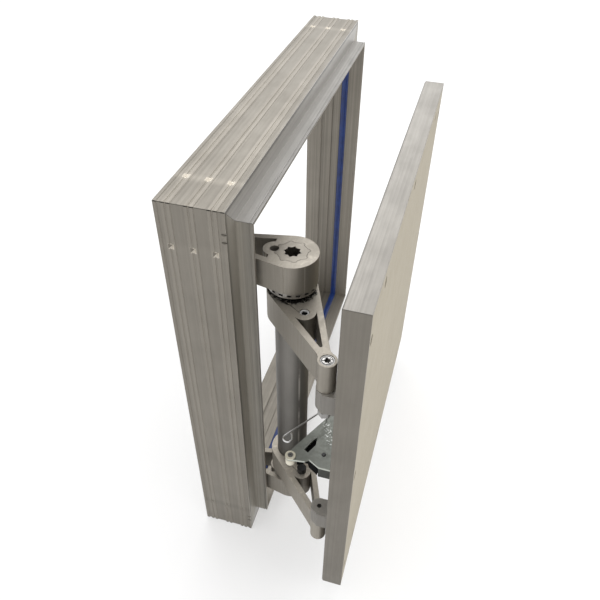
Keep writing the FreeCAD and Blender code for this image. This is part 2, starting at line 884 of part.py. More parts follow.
def make_board():
    inset = door_edge_wall + board_gap
    middle_y = door_near_y + door_width / 2
    back = door_front_x - board_thickness
    board = box(back, door_front_x, middle_y - door_width / 2 + inset, middle_y + door_width / 2 - inset,
                door_low_z + inset, door_low_z + door_height - inset)
    screws = []
    for y, z in board_screw_places():
        head, shank = board_screw(y, z)
        sink = head.translated(vec(board_screw_sink, 0, 0))
        board = board.cut([sink, head, shank])
        socket = pointed_prism(vec(door_front_x - board_screw_sink - board_socket_depth, y, z),
                               vec(1, 0, 0), board_socket_across, square_sides, board_socket_depth)
        screws.append(head.fuse(shank).removeSplitter().cut(socket))
    save(board, "door_board")
    save(Part.Compound(screws), "board_screws")


def door_bracket(low, high):
    """Eye for the pivot screw with a block that sits on the door's edge profile."""
    block = [
        (door_pivot_x - door_bracket_chamfer, door_pivot_y - door_bracket_near + door_bracket_chamfer),
        (door_pivot_x, door_pivot_y - door_bracket_near),
        (door_back_x, door_pivot_y - door_bracket_near),
        (door_back_x, door_pivot_y + door_bracket_far),
        (door_pivot_x - door_bracket_shoulder, door_pivot_y + door_bracket_far),
        (door_pivot_x - door_bracket_radius + door_bracket_shoulder, door_pivot_y + door_bracket_far / 2),
    ]
    eye = cylinder(door_pivot_x, door_pivot_y, door_bracket_radius, low, high)
    return eye.fuse(flat_prism(block, low, high)).removeSplitter()


def make_door_brackets():
    bore = pivot_screw_radius + running_clearance
    low = linkage_z + bracket_low_height
    high = linkage_z + bracket_top_height
    upper = door_bracket(low, high)
    upper = upper.cut(cylinder(door_pivot_x, door_pivot_y, bore, low, high))
    save(upper, "door_bracket_upper")
    lower = mirrored(door_bracket(low, high))
    floor_z = linkage_z - bracket_top_height
    top_z = linkage_z - bracket_low_height
    lower = lower.cut(cylinder(door_pivot_x, door_pivot_y, bore, floor_z, top_z - lower_screw_cover))
    tip = cylinder(door_pivot_x, door_pivot_y, lower_tip_hole_radius, floor_z, top_z)
    save(lower.cut(tip), "door_bracket_lower")


def pivot_head(low, high):
    head = cylinder(door_pivot_x, door_pivot_y, pivot_head_radius, low, high)
    socket = regular_prism(door_pivot_x, door_pivot_y, hex_key_across, hex_sides, high - hex_key_depth, high)
    return head.cut(socket)


def make_pivot_screws():
    head_high = linkage_z + arm_outer_height - pivot_head_recess
    head_low = head_high - pivot_head_height
    bush_top = linkage_z + bracket_low_height - bush_gap
    bush_low = bush_top - bush_height
    nut_low = bush_low - nut_height
    shank = cylinder(door_pivot_x, door_pivot_y, pivot_screw_radius, nut_low - screw_tail, head_low)
    save(shank.fuse(pivot_head(head_low, head_high)).removeSplitter(), "pivot_screw_upper")
    hole = cylinder(door_pivot_x, door_pivot_y, pivot_screw_radius, nut_low, bush_top)
    bush = cylinder(door_pivot_x, door_pivot_y, bush_radius, bush_low, bush_top)
    save(bush.cut(hole), "pivot_bush")
    nut = regular_prism(door_pivot_x, door_pivot_y, nut_across, hex_sides, nut_low, bush_low, nut_turn)
    save(nut.cut(hole), "pivot_nut")
    tip_z = linkage_z - bracket_low_height - lower_screw_cover
    shank = cylinder(door_pivot_x, door_pivot_y, pivot_screw_radius,
                     2 * linkage_z - head_low, tip_z - face_gap)
    head = mirrored(pivot_head(head_low, head_high))
    save(shank.fuse(head).removeSplitter(), "pivot_screw_lower")


def from_door(behind, along):
    """A plan point given behind the door's back face and along from the pivot."""
    return (door_back_x - behind, door_pivot_y + along)


def plate_points():
    """Outline of the guide plate from the roller's nose round to the door and back."""
    across = plate_nose_radius * math.cos(math.radians(plate_nose_tilt))
    along = plate_nose_radius * math.sin(math.radians(plate_nose_tilt))
    return [
        (roller_x - across, roller_y + along),
        from_door(plate_heel_behind_door, plate_heel_from_pivot),
        from_door(plate_tail_behind_door, plate_tail_from_pivot),
        from_door(0, plate_far_edge),
        from_door(0, plate_low_edge),
        from_door(plate_side_behind_door, plate_low_edge),
        from_door(plate_notch_behind_door, plate_low_edge + plate_notch_rise),
        from_door(plate_shoulder_behind_door, plate_low_edge + plate_shoulder_rise),
        (roller_x + along / 2, roller_y - across),
    ]


def plate_slot():
    """Long slot that the black block shows through, with a bend half way."""
    return [
        from_door(slot_mouth_behind_door, slot_mouth_from_pivot),
        from_door(slot_corner_behind_door, slot_corner_from_pivot),
        from_door(slot_bend_behind_door, slot_bend_from_pivot),
        from_door(slot_tip_behind_door, slot_tip_from_pivot),
        from_door(slot_shoulder_behind_door, slot_shoulder_from_pivot),
    ]


def guide_plate():
    low = plate_top_z - plate_thickness
    plate = flat_prism(plate_points(), low, plate_top_z)
    nose = cylinder(roller_x, roller_y, plate_nose_radius, low, plate_top_z)
    start = door_pivot_y + plate_low_edge
    end = door_pivot_y + plate_far_edge
    flange = box(door_back_x - plate_side_behind_door, door_back_x, start, start + plate_thickness,
                 plate_top_z - plate_flange_drop, plate_top_z)
    foot = box(door_back_x - plate_thickness, door_back_x, start, end,
               plate_top_z - plate_foot_drop, plate_top_z)
    plate = plate.multiFuse([nose, flange, foot]).removeSplitter()
    plate = plate.cut(flat_prism(plate_slot(), low, plate_top_z))
    x, y = from_door(rivet_behind_door, rivet_from_pivot)
    plate = plate.cut(regular_prism(x, y, rivet_across, rivet_sides, low, plate_top_z))
    x, y = from_door(wire_end_behind_door, wire_end_from_pivot)
    plate = plate.cut(cylinder(x, y, wire_radius + wire_hole_clearance, low, plate_top_z))
    return plate.cut(cylinder(roller_x, roller_y, roller_pin_radius, low, plate_top_z))


def guide_block():
    """Black block that backs the slot in the plate and flanks the roller."""
    high = plate_top_z - plate_thickness
    low = high - block_height
    front = plate_low_edge + block_front_inset
    inside = plate_low_edge + plate_thickness + block_flange_gap
    side = roller_behind_door - roller_radius - block_roller_gap
    outline = [
        from_door(side, front + block_side_rise),
        from_door(block_hollow_behind_door, block_hollow_from_pivot),
        from_door(block_hollow_behind_door - block_hollow_width, block_hollow_from_pivot),
        from_door(plate_notch_behind_door, front + plate_notch_rise),
        from_door(plate_side_behind_door + block_flange_gap, front),
        from_door(plate_side_behind_door + block_flange_gap, inside),
        from_door(block_back_behind_door, inside),
        from_door(block_back_behind_door, block_back_from_pivot),
        from_door(block_far_behind_door, block_far_from_pivot),
        from_door(slot_shoulder_behind_door, slot_tip_from_pivot + block_past_slot),
        from_door(slot_mouth_behind_door + block_past_slot, slot_mouth_from_pivot + block_past_slot),
        from_door(side, slot_mouth_from_pivot - block_past_slot),
    ]
    block = flat_prism(outline, low, high)
    x, y = from_door(rivet_behind_door, rivet_from_pivot)
    return block.cut(regular_prism(x, y, rivet_across, rivet_sides, low, high))


def guide_rivet():
    low = plate_top_z - plate_thickness - block_height
    x, y = from_door(rivet_behind_door, rivet_from_pivot)
    shank = regular_prism(x, y, rivet_across, rivet_sides, low, plate_top_z)
    head = Part.makeCone(rivet_head_radius, rivet_across / 2, rivet_head_height, vec(x, y, plate_top_z))
    return shank.fuse(head).removeSplitter()


def spring_wire():
    """Level wire with a teardrop loop; its other end turns down through the plate."""
    level = plate_top_z + wire_above_plate
    end_x, end_y = from_door(wire_end_behind_door, wire_end_from_pivot)
    loop_x, loop_y = from_door(wire_loop_behind_door, wire_loop_from_pivot)
    span = math.hypot(loop_x - end_x, loop_y - end_y)
    bend = math.sqrt(span ** 2 - wire_loop_radius ** 2)
    heading = math.degrees(math.atan2(loop_y - end_y, loop_x - end_x))
    heading -= math.degrees(math.asin(wire_loop_radius / span))
    r = wire_bend_radius
    turn = math.radians(wire_loop_turn)
    ring = wire_loop_radius

    def on_loop(angle):
        return vec(bend + ring * math.sin(angle), ring - ring * math.cos(angle), 0)

    tail = on_loop(turn)
    rise = (tail.y - wire_clear_share * wire_radius) / -math.sin(turn)
    tip = tail + vec(math.cos(turn), math.sin(turn), 0) * rise
    low = -wire_above_plate - plate_thickness
    down = Part.makeLine(vec(0, 0, low), vec(0, 0, -r))
    half_turn = math.pi / 4
    corner = Part.Arc(vec(0, 0, -r), vec(r - r * math.cos(half_turn), 0, -r + r * math.sin(half_turn)),
                      vec(r, 0, 0)).toShape()
    leg = Part.makeLine(vec(r, 0, 0), vec(bend, 0, 0))
    loop = Part.Arc(vec(bend, 0, 0), on_loop(turn / 2), tail).toShape()
    last = Part.makeLine(tail, tip)
    path = Part.Wire([down, corner, leg, loop, last])
    corners = []
    for index in range(wire_sides + 1):
        angle = 2 * math.pi * (index % wire_sides) / wire_sides
        corners.append(vec(wire_radius * math.cos(angle), wire_radius * math.sin(angle), low))
    section = Part.makePolygon(corners)
    wire = path.makePipeShell([section], True, False)
    return wire.rotated(vec(0, 0, 0), vec(0, 0, 1), heading).translated(vec(end_x, end_y, level))


def make_guide():
    low = plate_top_z - plate_thickness
    save(guide_plate(), "guide_plate")
    roller_top = low - face_gap
    roller = cylinder(roller_x, roller_y, roller_radius, roller_top - roller_height, roller_top)
    bore = cylinder(roller_x, roller_y, roller_pin_radius + roller_bore_clearance,
                    roller_top - roller_height, roller_top)
    save(roller.cut(bore), "guide_roller")
    pin_low = roller_top - roller_height - face_gap
    washer_top = plate_top_z + roller_washer_thickness
    washer = cylinder(roller_x, roller_y, roller_washer_radius, plate_top_z, washer_top)
    bore = cylinder(roller_x, roller_y, roller_pin_radius, plate_top_z, washer_top)
    save(washer.cut(bore), "roller_washer")
    pin_top = washer_top + roller_pin_head
    pin = cylinder(roller_x, roller_y, roller_pin_radius, pin_low, washer_top)
    head = cylinder(roller_x, roller_y, roller_pin_head_radius, washer_top, pin_top)
    foot = cylinder(roller_x, roller_y, roller_pin_foot_radius, pin_low - roller_pin_head, pin_low)
    dimple_low = pin_top - roller_pin_dimple_depth
    dimple = cylinder(roller_x, roller_y, roller_pin_dimple_radius, dimple_low, pin_top)
    save(pin.multiFuse([head, foot]).removeSplitter().cut(dimple), "roller_pin")
    save(guide_block(), "guide_block")
    save(guide_rivet(), "guide_rivet")
    save(spring_wire(), "guide_wire")


make_frame()
make_frame_cleats()
make_seal()
make_frame_brackets()
make_links()
make_torsion_bar()
make_arms()
make_tube()
make_bearings()
make_door_frame()
make_hinge_rail()
make_board()
make_door_brackets()
make_pivot_screws()
make_guide()
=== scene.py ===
import bpy
from mathutils import Matrix, Vector

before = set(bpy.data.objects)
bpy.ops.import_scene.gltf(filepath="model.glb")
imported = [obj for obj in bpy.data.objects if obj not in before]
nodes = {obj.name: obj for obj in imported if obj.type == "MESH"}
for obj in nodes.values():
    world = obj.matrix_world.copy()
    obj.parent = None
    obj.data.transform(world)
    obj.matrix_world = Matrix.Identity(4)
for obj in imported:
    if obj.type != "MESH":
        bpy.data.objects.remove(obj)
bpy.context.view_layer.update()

# Camera, taken from the photograph's vanishing lines
CAMERA_PLACE = (0.16293, -0.51000, 0.62089)
CAMERA_RIGHT = (0.96197, 0.27256, 0.01803)
CAMERA_UP = (-0.19702, 0.64659, 0.73695)
CAMERA_LENS = 37.22
CAMERA_SHIFT = (-0.0137, 0.0247)
SENSOR_WIDTH = 36.0
NEAR_CLIP = 0.01

# Places on the part in metres. X runs from the frame's back to its front. A face's reach is how
# far it lies from the frame's middle, up and down or to the sides.
MID_HEIGHT = 0.2

# Rib pairs on the frame's outside faces
FIRST_PAIR_X = -0.0187
PAIR_PITCH = 0.0166
PAIR_HALF = 0.0031

# How far the crimps over the corner cleats lie from a profile's middle, and half a crimp's width
CRIMP_RUN = 0.1642
CRIMP_HALF = 0.0022

# Where the sleeve steps down to its neck, the neck's lip, and the front edge of the seal's groove
STEP_X = 0.0232
LIP_X = 0.0345
FRONT_FACE_X = LIP_X + 0.0009
SEAL_END = 0.0203

# Spans of reach: on the sleeve's outside, between the inner wall and the neck's outside, in the
# corner seam, and at the foot of the edge notches, which start at NOTCH_X
SLEEVE_REACH = (0.196, 0.198)
WALL_REACH = (0.1815, 0.1830)
SEAM_REACH = (0.1991, 0.1994)
NOTCH_REACH = (0.1991, 0.1993)
NOTCH_X = STEP_X - 0.0038

# Heights between which crimps turn from dull to bright, and the seal's lip from bright to dull.
# Both copy light in the photograph and are no property of the surface.
CRIMP_HEIGHTS = (0.1, 0.3)
LIP_HEIGHTS = (0.1, 0.35)

# How far from a crimp its painted sheen and shade fade out
SHEEN_RUN = (0.001, 0.006)

# The shaft in plan, the radius of the lever heads and of their grooves' two edges, and how far
# from the shaft the grease and its thin films end and how deep the grease's edge is frayed
SHAFT = (0.0571, -0.1606)
HEAD_RADIUS = 0.02
GROOVE_START = (HEAD_RADIUS - 0.0012, HEAD_RADIUS - 0.0007)
GROOVE_END = (HEAD_RADIUS - 0.0003, HEAD_RADIUS - 0.0002)
GREASE_RADIUS = (0.0105, 0.0125)
FILM_RADIUS = (0.015, 0.021)
GREASE_FRAY = 0.016

# On the tube, along X from the shaft: its dull left side and its highlight's two edges, and the
# heights between which its dull foot ends. All three are painted light: they copy the
# photograph's, and the highlight's place was worked out for the photograph's camera.
TUBE_LEFT = (-0.012, -0.003)
HIGHLIGHT_START = (0.0086, 0.0092)
HIGHLIGHT_END = (0.0096, 0.0102)
TUBE_FOOT = (0.12, 0.24)

# The pivot screws in plan, and the radii of their socket and of the dark ring round it
PIVOT = (0.10224, -0.22777)
SOCKET_RADIUS = 0.0036
SOCKET_RING_RADIUS = 0.0045

# How far the arms' greasy faces lie from mid height, and a height that no face reaches
ARM_FACE = 0.1145
NO_FACE = 1.0

# The guide plate's top, where its painted bright rim starts, its edge's slant, and its place of
# scratches and painted glints: along Y and across it, each with the span over which they end
PLATE_TOP = 0.18
PLATE_RIM = (PLATE_TOP - 0.0023, PLATE_TOP - 0.0020)
PLATE_SLANT = 0.383
FLECKS_Y = -0.187
FLECKS_Y_SPAN = (0.010, 0.013)
FLECKS_ACROSS = 0.0262
FLECKS_ACROSS_SPAN = (0.002, 0.004)

# Width over which the edge of a tone fades
SOFT = 0.0002

# Spans: one that holds most of a noise's values, one for stronger contrast, and the whole of it
MIDDLE = (0.3, 0.7)
NARROW = (0.35, 0.65)
ALL = (0.0, 1.0)

# Colours
WHITE = (1.0, 1.0, 1.0, 1.0)
PAPER = ((0.335, 0.296, 0.226, 1.0), (0.372, 0.334, 0.262, 1.0))
PAPER_FIBRE = (0.43, 0.395, 0.32, 1.0)
PAPER_SPECK = (0.27, 0.22, 0.16, 1.0)
ZINC = ((0.185, 0.193, 0.175, 1.0), (0.24, 0.25, 0.225, 1.0))
ZINC_CRYSTAL = (0.25, 0.27, 0.25, 1.0)
ZINC_FLECK = (0.85, 0.88, 0.85, 1.0)
SEAL_BLUE = ((0.006, 0.021, 0.105, 1.0), (0.011, 0.040, 0.19, 1.0))
BLACK = ((0.0008, 0.0008, 0.0008, 1.0), (0.002, 0.002, 0.002, 1.0))
IVORY = ((0.62, 0.58, 0.46, 1.0), (0.74, 0.70, 0.58, 1.0))
FLOOR_GREY = (0.55, 0.55, 0.55, 1.0)

# Share by which bare metal leans to yellow, and by how much more its blue falls
WARMTH = 0.085
BLUE_FALL = 1.6

# Shares by which drawn metal and saw marks vary about their tone
DRAWN_SPREAD = 0.06
SAW_SPREAD = 0.06

# Roughness spans, and the radii that ease sharp edges of metal and of all else
DRAWN_ROUGH = (0.40, 0.56)
SAWN_ROUGH = (0.44, 0.60)
MACHINED_ROUGH = (0.28, 0.45)
METAL_EDGE = 0.0004
OTHER_EDGE = 0.0003

# Floor, set just below the part, and lights
FLOOR_HALF = 6.0
FLOOR_Z = -0.0003
FLOOR_GLOW = 0.45
LIT_PLACE = (0.03, 0.0, 0.25)


def make_camera():
    data = bpy.data.cameras.new("camera")
    data.sensor_width = SENSOR_WIDTH
    data.lens = CAMERA_LENS
    data.shift_x, data.shift_y = CAMERA_SHIFT
    data.clip_start = NEAR_CLIP
    data.dof.use_dof = False
    right = Vector(CAMERA_RIGHT).normalized()
    up = Vector(CAMERA_UP)
    up = (up - right * up.dot(right)).normalized()
    back = right.cross(up)
    turn = Matrix((right, up, back)).transposed().to_4x4()
    camera = bpy.data.objects.new("camera", data)
    camera.matrix_world = Matrix.Translation(CAMERA_PLACE) @ turn
    bpy.context.scene.collection.objects.link(camera)
    bpy.context.scene.camera = camera


def feed(tree, socket, value):
    """Gives a socket a value, or links another node's socket to it."""
    if isinstance(value, bpy.types.NodeSocket):
        tree.links.new(value, socket)
    else:
        socket.default_value = value


def add_node(tree, kind, inputs=None, **settings):
    """A shader node with its settings and inputs."""
    made = tree.nodes.new(kind)
    for key, value in settings.items():
        setattr(made, key, value)
    for key, value in (inputs or {}).items():
        feed(tree, made.inputs[key], value)
    return made


def new_material(name, **values):
    """A material with values on its shader's own inputs."""
    material = bpy.data.materials.new(name)
    material.use_nodes = True
    tree = material.node_tree
    shader = tree.nodes["Principled BSDF"]
    for key, value in values.items():
        shader.inputs[key.replace("_", " ")].default_value = value
    return material, tree, shader


def stretched(tree, scale):
    """Object coordinates with a scale along each axis, per metre."""
    place = add_node(tree, "ShaderNodeTexCoord").outputs["Object"]
    return add_node(tree, "ShaderNodeMapping", {"Vector": place, "Scale": scale}).outputs["Vector"]


def even(scale):
    """The same scale along each axis."""
    return (scale, scale, scale)


def along(axis, fine, run):
    """A scale that is fine across a drawn surface and long along its run."""
    return tuple(run if index == axis else fine for index in range(3))


def noise(tree, scale, detail=3.0, roughness=0.6, distortion=0.0):
    made = add_node(tree, "ShaderNodeTexNoise",
                    {"Vector": stretched(tree, scale), "Scale": 1.0, "Detail": detail,
                     "Roughness": roughness, "Distortion": distortion})
    return made.outputs["Fac"]


def band(tree, value, span, target=(0.0, 1.0)):
    """The part of a value within a span, stretched to a target span."""
    inputs = {"Value": value, "From Min": span[0], "From Max": span[1],
              "To Min": target[0], "To Max": target[1]}
    return add_node(tree, "ShaderNodeMapRange", inputs, clamp=True).outputs["Result"]


def falling(tree, value, span):
    """One where a value is below a span, none where it is above."""
    return band(tree, value, span, (1.0, 0.0))


def edge_at(place, width=SOFT):
    """The span over which the edge of a tone fades, from a place on."""
    return (place, place + width)


def add_maths(tree, operation, first, second=0.0):
    made = add_node(tree, "ShaderNodeMath", operation=operation)
    for index, value in enumerate((first, second)):
        feed(tree, made.inputs[index], value)
    return made.outputs[0]


def both(tree, first, *others):
    """The product of masks, factors or values."""
    for other in others:
        first = add_maths(tree, "MULTIPLY", first, other)
    return first


def size_of(tree, value, centre=0.0):
    """Distance of a value from a centre."""
    return add_maths(tree, "ABSOLUTE", add_maths(tree, "SUBTRACT", value, centre))


def parts_of(tree, output):
    """X, Y and Z of the place or the normal in object coordinates."""
    vector = add_node(tree, "ShaderNodeTexCoord").outputs[output]
    return add_node(tree, "ShaderNodeSeparateXYZ", {"Vector": vector}).outputs


def radius_about(tree, axes, centre):
    """Distance from an upright line through a plan point."""
    squares = [add_maths(tree, "POWER", size_of(tree, axes[axis], centre[index]), 2.0)
               for index, axis in enumerate("XY")]
    return add_maths(tree, "SQRT", add_maths(tree, "ADD", *squares))


def blend_colour(tree, factor, first, second):
    made = add_node(tree, "ShaderNodeMix", data_type="RGBA")
    for key, value in (("Factor_Float", factor), ("A_Color", first), ("B_Color", second)):
        feed(tree, next(s for s in made.inputs if s.identifier == key), value)
    return next(s for s in made.outputs if s.identifier == "Result_Color")


def times(tree, colour, amount):
    """A colour times a factor, or a tint, that varies over the surface."""
    made = add_node(tree, "ShaderNodeVectorMath", operation="MULTIPLY")
    tree.links.new(colour, made.inputs[0])
    tree.links.new(amount, made.inputs[1])
    return made.outputs["Vector"]


def factor_where(tree, mask, factor):
    """One outside a mask and a factor inside it; the factor may vary too."""
    change = add_maths(tree, "SUBTRACT", factor, 1.0)
    return add_maths(tree, "ADD", both(tree, mask, change), 1.0)


def toned(tree, colour, changes):
    """A colour times several factors, each where its own mask is one."""
    factors = [factor_where(tree, mask, factor) for mask, factor in changes]
    return times(tree, colour, both(tree, *factors))


def layered(tree, *layers):
    """Layers that vary about one half, each with its own weight."""
    total = 0.5
    for value, weight in layers:
        share = both(tree, add_maths(tree, "SUBTRACT", value, 0.5), weight)
        total = add_maths(tree, "ADD", total, share)
    return total


def grey(value, warmth=0.0):
    return (value * (1 + warmth), value, value * (1 - BLUE_FALL * warmth), 1.0)


def scaled(colour, factor):
    return tuple(channel * factor for channel in colour[:3]) + (1.0,)


def rounded_bump(tree, shader, height, strength, distance, edge):
    """Bump over normals that are eased at sharp edges."""
    eased = add_node(tree, "ShaderNodeBevel", {"Radius": edge}, samples=4).outputs["Normal"]
    bump = add_node(tree, "ShaderNodeBump", {"Strength": strength, "Distance": distance,
                                             "Height": height, "Normal": eased})
    tree.links.new(bump.outputs["Normal"], shader.inputs["Normal"])


def drawn_metal(name, axis, value, warmth=WARMTH, rough=DRAWN_ROUGH, metallic=0.8, shade=None):
    """Extruded aluminium: faint die lines along its run, soft cloudy patches, light rub marks."""
    material, tree, shader = new_material(name, Metallic=metallic)
    die_lines = noise(tree, along(axis, 900, 2), detail=2.0, roughness=0.5)
    broad = noise(tree, along(axis, 150, 2), detail=2.0, roughness=0.5)
    patches = noise(tree, even(24), detail=4.0)
    rubs = noise(tree, along(axis, 400, 50), distortion=0.3)
    mixed = layered(tree, (die_lines, 0.8), (broad, 0.5), (patches, 1.1), (rubs, 0.5))
    middle = grey(value, warmth)
    tone = blend_colour(tree, band(tree, mixed, ALL),
                        scaled(middle, 1 - DRAWN_SPREAD), scaled(middle, 1 + DRAWN_SPREAD))
    if shade:
        tone = shade(tree, tone)
    tree.links.new(tone, shader.inputs["Base Color"])
    tree.links.new(band(tree, mixed, (0.2, 0.8), (rough[1], rough[0])), shader.inputs["Roughness"])
    height = add_maths(tree, "ADD", die_lines, both(tree, rubs, 0.6))
    rounded_bump(tree, shader, height, 0.05, 0.0002, METAL_EDGE)
    return material


def machined_metal(name, dark, light, warmth=WARMTH, grain=700, rough=MACHINED_ROUGH,
                   metallic=0.95, shade=None):
    """Cut, turned or plated metal with an even fine grain."""
    material, tree, shader = new_material(name, Metallic=metallic)
    fine = noise(tree, (grain, grain, grain * 0.35))
    patches = noise(tree, even(60), detail=4.0)
    mixed = layered(tree, (fine, 0.6), (patches, 0.9))
    colour = blend_colour(tree, band(tree, mixed, ALL), grey(dark, warmth), grey(light, warmth))
    if shade:
        colour = shade(tree, colour)
    tree.links.new(colour, shader.inputs["Base Color"])
    tree.links.new(band(tree, patches, MIDDLE, (rough[1], rough[0])), shader.inputs["Roughness"])
    rounded_bump(tree, shader, fine, 0.15, 0.0001, METAL_EDGE)
    return material


def zinc_spangle(name):
    """Galvanised sheet: flat crystals that hardly differ, scratches with painted glints in one place,
    painted shade on the sides and a painted highlight on the rim.

    How dark the sides are and how bright the rim is were fitted to the light in the photograph.
    """
    material, tree, shader = new_material(name, Metallic=0.85)
    crystals = add_node(tree, "ShaderNodeTexVoronoi",
                        {"Vector": stretched(tree, even(520)), "Scale": 1.0})
    split = add_node(tree, "ShaderNodeSeparateColor", {"Color": crystals.outputs["Color"]})
    crystal = split.outputs["Red"]
    axes = parts_of(tree, "Object")
    slanted = add_maths(tree, "ADD", axes["X"], both(tree, axes["Y"], PLATE_SLANT))
    flecks = band(tree, noise(tree, even(620), detail=2.0, distortion=0.4), (0.56, 0.62))
    # Bright flecks in one place: scratches, and painted glints
    scratches_and_glints = both(tree, flecks,
                     falling(tree, size_of(tree, slanted, FLECKS_ACROSS), FLECKS_ACROSS_SPAN),
                     falling(tree, size_of(tree, axes["Y"], FLECKS_Y), FLECKS_Y_SPAN))
    cloudy = band(tree, noise(tree, even(110), detail=4.0), MIDDLE)
    colour = blend_colour(tree, cloudy, *ZINC)
    colour = blend_colour(tree, both(tree, crystal, 0.25), colour, ZINC_CRYSTAL)
    colour = blend_colour(tree, scratches_and_glints, colour, ZINC_FLECK)
    # Painted shade on the plate's sides, and a painted highlight where they meet the top
    sides = falling(tree, size_of(tree, parts_of(tree, "Normal")["Z"]), (0.3, 0.5))
    rim = band(tree, axes["Z"], PLATE_RIM)
    colour = toned(tree, colour, [(sides, band(tree, rim, ALL, (0.25, 2.2)))])
    tree.links.new(colour, shader.inputs["Base Color"])
    tree.links.new(band(tree, crystal, ALL, (0.46, 0.36)), shader.inputs["Roughness"])
    rounded_bump(tree, shader, cloudy, 0.05, 0.0002, OTHER_EDGE)
    return material


def board_face(name):
    """Paper-faced board: fine fibres, faint mottling, a few specks."""
    material, tree, shader = new_material(name, Roughness=0.85, Metallic=0.0)
    fibres = noise(tree, (500, 500, 90), detail=4.0, roughness=0.7)
    mottling = noise(tree, even(35), detail=5.0, roughness=0.65)
    specks = band(tree, noise(tree, even(900), detail=2.0, roughness=0.5), (0.66, 0.74))
    colour = blend_colour(tree, band(tree, mottling, MIDDLE), *PAPER)
    fibre_share = both(tree, band(tree, fibres, (0.35, 0.7)), 0.45)
    colour = blend_colour(tree, fibre_share, colour, PAPER_FIBRE)
    colour = blend_colour(tree, both(tree, specks, 0.5), colour, PAPER_SPECK)
    tree.links.new(colour, shader.inputs["Base Color"])
    rounded_bump(tree, shader, fibres, 0.35, 0.0003, OTHER_EDGE)
    return material


def moulded(name, dark, light, roughness, specular=0.5):
    """Moulded or extruded plastic or rubber with a faint grain."""
    material, tree, shader = new_material(name, Roughness=roughness, Metallic=0.0,
                                          Specular_IOR_Level=specular)
    fine = noise(tree, even(500))
    colour = blend_colour(tree, band(tree, noise(tree, even(90)), MIDDLE), dark, light)
    varied = band(tree, fine, MIDDLE, (roughness + 0.08, roughness - 0.05))
    tree.links.new(colour, shader.inputs["Base Color"])
    tree.links.new(varied, shader.inputs["Roughness"])
    rounded_bump(tree, shader, fine, 0.15, 0.0002, OTHER_EDGE)
    return material


def profile_shade(run, ridge, crimp, sheen_gains, streak, recess, inside, neck_reflection_tint, seam):
    """Tone of the frame's profiles: rib pairs, crimps and seams outside, neck and inner wall.

    ridge is the rib pairs' gain, crimp the factors on a crimp's sides and on its left side, and
    sheen_gains the factors of the painted sheen and shade round the lower and the upper crimps.
    streak is how much neck and inner wall vary, recess the factors at the neck's foot and lip, and
    inside the factor on the inner wall. Apart from streak and the seam, these and the fixed factors
    were fitted to the light in the photograph and are painted light and shade; the surface itself
    need not differ there.
    """
    def shade(tree, colour):
        axes = parts_of(tree, "Object")
        facing = parts_of(tree, "Normal")["X"]
        level = size_of(tree, axes["Z"], MID_HEIGHT)
        side = size_of(tree, axes["Y"])
        reach = add_maths(tree, "MAXIMUM", side, level)
        outside = band(tree, reach, SLEEVE_REACH)
        within = falling(tree, reach, WALL_REACH)
        neck = both(tree, band(tree, axes["X"], (STEP_X - SOFT, STEP_X)),
                    band(tree, reach, WALL_REACH))

        past_first = add_maths(tree, "SUBTRACT", axes["X"], FIRST_PAIR_X)
        turns = add_maths(tree, "DIVIDE", past_first, PAIR_PITCH)
        off_pair = both(tree, add_maths(tree, "PINGPONG", turns, 0.5), PAIR_PITCH)
        pair = both(tree, outside, falling(tree, off_pair, edge_at(PAIR_HALF, 0.0007)))
        flank = both(tree, outside, band(tree, size_of(tree, facing), (0.1, 0.5)))

        off_crimp = size_of(tree, level if run == "Z" else side, CRIMP_RUN)
        # Painted highlight and painted shade on the crimps' sides, bright only on the upper crimps
        upper = band(tree, axes["Z"], CRIMP_HEIGHTS)
        crimp_light_and_shade = both(tree, outside, upper, falling(tree, off_crimp, edge_at(CRIMP_HALF)),
                       falling(tree, off_pair, edge_at(CRIMP_HALF)))
        # Painted sheen round the upper crimps, painted shade round the lower ones
        crimp_sheen = both(tree, outside, falling(tree, off_crimp, SHEEN_RUN))
        notch = both(tree, outside, falling(tree, reach, NOTCH_REACH),
                     band(tree, axes["X"], edge_at(NOTCH_X)))
        seal_lip = both(tree, within, band(tree, axes["X"], edge_at(SEAL_END, 0.0003)))
        front = band(tree, axes["X"], edge_at(FRONT_FACE_X))

        lines = noise(tree, along("XYZ".index(run), 520, 1.5))
        streaks = band(tree, lines, NARROW, (1 - streak, 1 + streak))
        # Painted light and shade: lighter rib pairs and flanks, a lighter neck foot, front face and
        # seal's lip, the inner wall's tone and the dark notch foot. The streaks and the dark seam are
        # the metal's own.
        changes = [(pair, 1 + ridge),
                   (flank, 1.35),
                   (crimp_light_and_shade, band(tree, facing, (0.2, 0.4), crimp)),
                   (crimp_sheen, band(tree, upper, ALL, sheen_gains)),
                   (neck, streaks),
                   (neck, band(tree, axes["X"], (STEP_X, LIP_X), recess)),
                   (front, 1.25),
                   (within, inside),
                   (within, streaks),
                   (seal_lip, band(tree, axes["Z"], LIP_HEIGHTS, (1.3, 1.08))),
                   (notch, 0.4)]
        if seam:
            changes.append((both(tree, outside, band(tree, level, SEAM_REACH)), 0.1))
        colour = toned(tree, colour, changes)
        # The neck's tint is a painted reflection, bluish on the level profiles
        return times(tree, colour, blend_colour(tree, neck, WHITE, neck_reflection_tint))
    return shade


